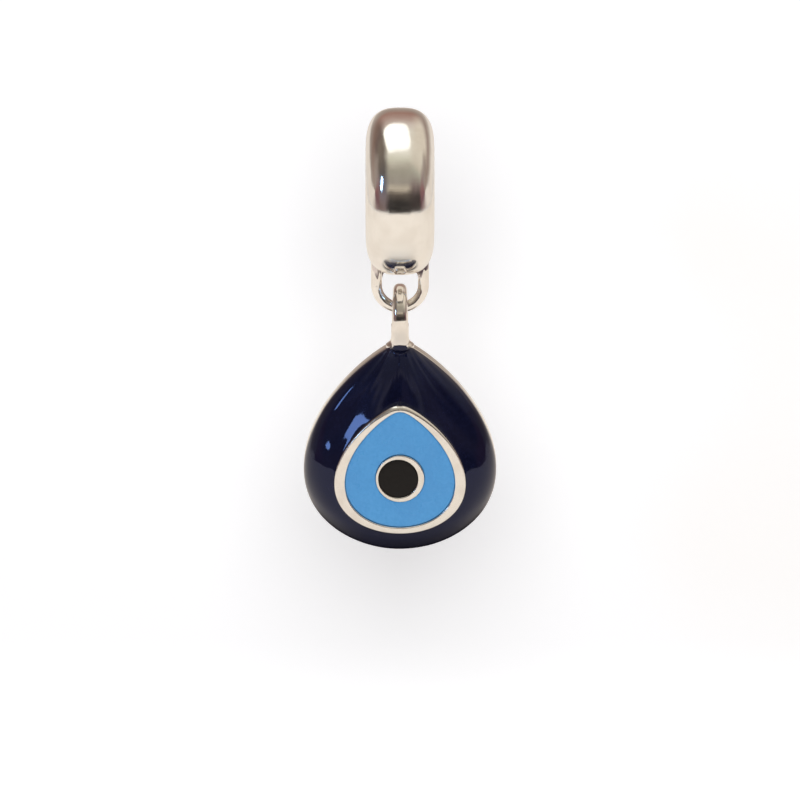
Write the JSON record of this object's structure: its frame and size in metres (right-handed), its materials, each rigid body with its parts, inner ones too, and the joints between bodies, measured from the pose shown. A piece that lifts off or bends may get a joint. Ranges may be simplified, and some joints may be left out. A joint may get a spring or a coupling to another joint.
{
  "type": "evil eye charm",
  "caption": "Evil eye charm: an enamelled teardrop that swings from a plain barrel bead on a snake-chain bracelet.",
  "frame": {"origin": "centre of the bead's bore", "axes": "+X along the bore, -Z down to the drop as it hangs, -Y towards the enamelled face"},
  "size_m": [0.011, 0.0094, 0.0259],
  "materials": {
    "polished_silver": "sterling silver, cast and mirror polished",
    "liner_silver": "sterling silver tube, satin from the reamer",
    "solder": "silver solder, left slightly uneven",
    "bezel_silver": "sterling silver, lapped flat with the enamel",
    "navy_enamel": "navy vitreous enamel, fire polished and glossy",
    "sky_enamel": "opaque sky-blue enamel, stoned flat to a soft gloss",
    "black_enamel": "opaque black enamel, stoned flat to a soft gloss"
  },
  "bodies": {
    "bail": {"bail_bead": "polished_silver", "bead_liner": "liner_silver", "bail_loop": "polished_silver", "loop_solder": "solder"},
    "drop": {"eyelet": "polished_silver", "drop_back": "polished_silver", "drop_front": "polished_silver", "navy_enamel": "navy_enamel", "eye_bezel": "bezel_silver", "sky_enamel": "sky_enamel", "pupil_ring": "bezel_silver", "pupil_enamel": "black_enamel"}
  },
  "joints": [
    {"name": "drop_swing", "type": "hinge", "parent": "bail", "child": "drop", "pos_m": [0, 0, -0.00685], "axis": [1, 0, 0], "range_deg": [-100, 100]}
  ]
}
